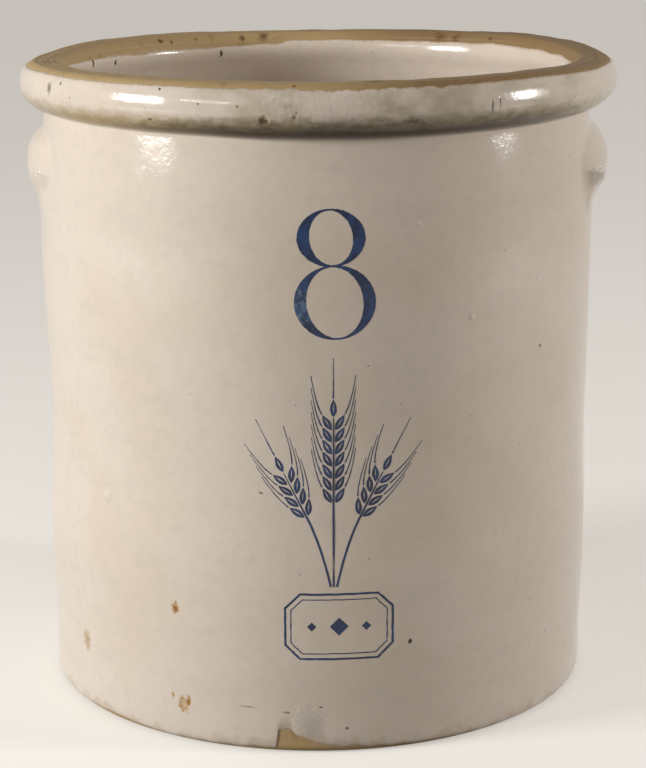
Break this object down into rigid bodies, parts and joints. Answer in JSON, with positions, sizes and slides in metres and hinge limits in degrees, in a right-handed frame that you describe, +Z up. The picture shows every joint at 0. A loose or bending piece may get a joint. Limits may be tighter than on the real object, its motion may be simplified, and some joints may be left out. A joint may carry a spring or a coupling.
{
  "type": "stoneware crock",
  "caption": "Straight-sided white-glazed stoneware storage crock with a rolled rim of bare clay, luted ear handles, a cobalt capacity numeral and cobalt printed marks.",
  "frame": {"origin": "on the floor, at the centre of the flat foot", "axes": "+Z up along the crock's axis, -Y towards the side that carries the cobalt marks, -X to the left ear and +X to the right ear"},
  "size_m": [0.367, 0.367, 0.394],
  "materials": {
    "stoneware": "bare fired clay, matt",
    "luting_slip": "fired slip, matt",
    "white_glaze": "warm white zinc glaze, glossy",
    "cobalt": "cobalt blue under a glossy glaze"
  },
  "bodies": {
    "root": {"body": "stoneware", "ear_left": "stoneware", "ear_right": "stoneware", "luting_left": "luting_slip", "luting_right": "luting_slip", "glaze_outside": "white_glaze", "glaze_inside": "white_glaze", "numeral_eight": "cobalt", "wheat_spray": "cobalt", "bordered_panel": "cobalt"}
  },
  "joints": []
}
